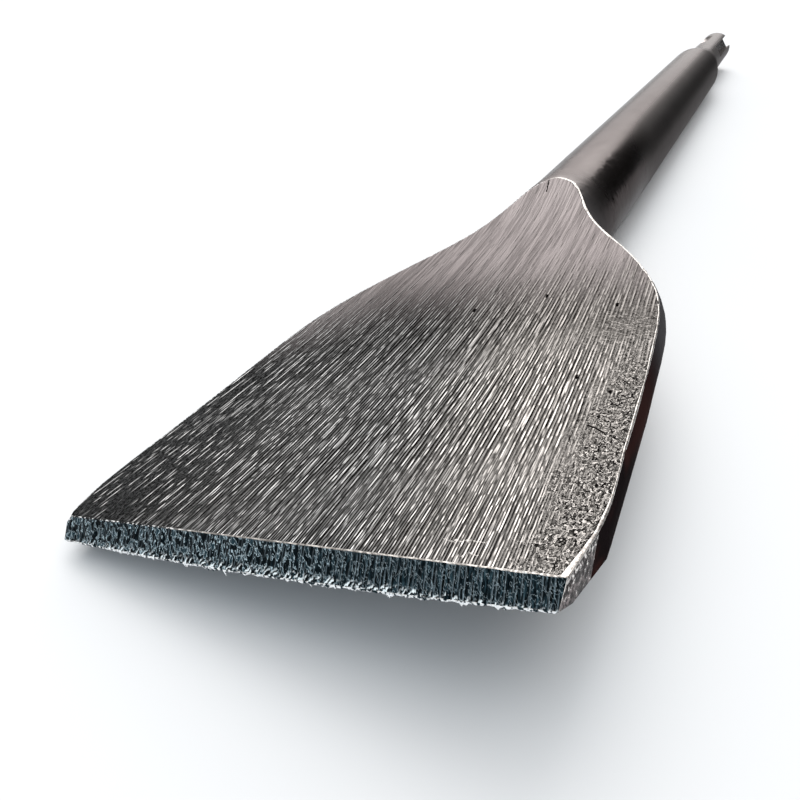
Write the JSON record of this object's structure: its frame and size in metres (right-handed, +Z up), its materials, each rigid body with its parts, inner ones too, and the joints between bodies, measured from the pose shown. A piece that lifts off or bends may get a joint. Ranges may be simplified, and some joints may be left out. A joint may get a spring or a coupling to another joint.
{
  "type": "flat chisel",
  "caption": "Wide flat chisel for a hammer drill: a round steel bar forged into a ground, bevelled blade, with a slotted round shank at the other end.",
  "frame": {"origin": "on the floor under the middle of the bounding box, with the chisel laid down as it comes to rest: on the underside of its bar and on one front corner of the blade, so the blade is rolled by 15 degrees", "axes": "+X runs along the bar's axis from the cutting edge to the shank end, +Z is up, +Y is across, towards the front corner that touches the floor"},
  "size_m": [0.2955, 0.0416, 0.0146],
  "materials": {
    "steel": "coarse lengthwise grinding on the blade, semi-gloss on the bar"
  },
  "bodies": {
    "root": {"chisel": "steel"}
  },
  "joints": []
}
